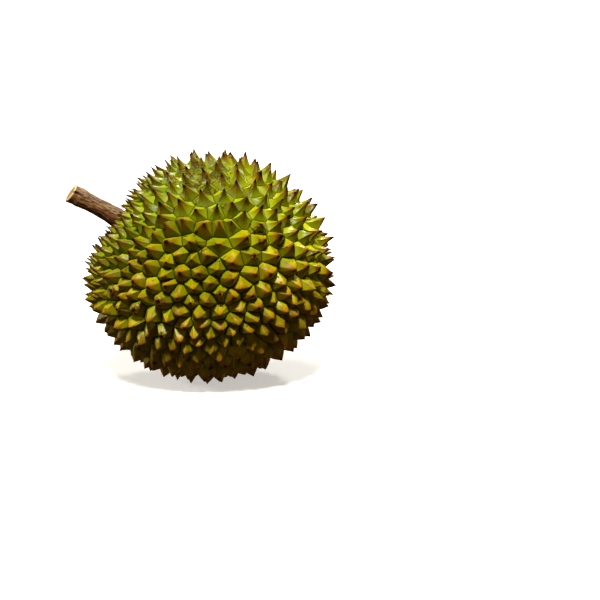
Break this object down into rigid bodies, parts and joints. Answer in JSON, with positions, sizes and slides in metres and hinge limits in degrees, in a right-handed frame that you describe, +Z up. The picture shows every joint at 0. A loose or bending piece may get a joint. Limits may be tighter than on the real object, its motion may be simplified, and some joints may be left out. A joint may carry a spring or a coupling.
{
  "type": "whole durian fruit",
  "caption": "Whole durian as picked: a round green husk covered in thorny pyramids, with a cut woody stalk, lying on its side on worn thorns.",
  "frame": {"origin": "on the surface that the fruit lies on, below the middle of its bounding box", "axes": "+Z up; X along the husk's long axis, with the stalk leaving the husk towards -X and upwards, in an XZ plane"},
  "size_m": [0.2424, 0.2094, 0.2069],
  "materials": {
    "husk": "living durian husk: olive to lime green, satin, browner on the ridges and dark brown at the tips of the thorns",
    "stem": "dry brown bark with lengthwise cracks, matt, and a paler cut end"
  },
  "bodies": {
    "root": {"husk": "husk", "stem": "stem"}
  },
  "joints": []
}
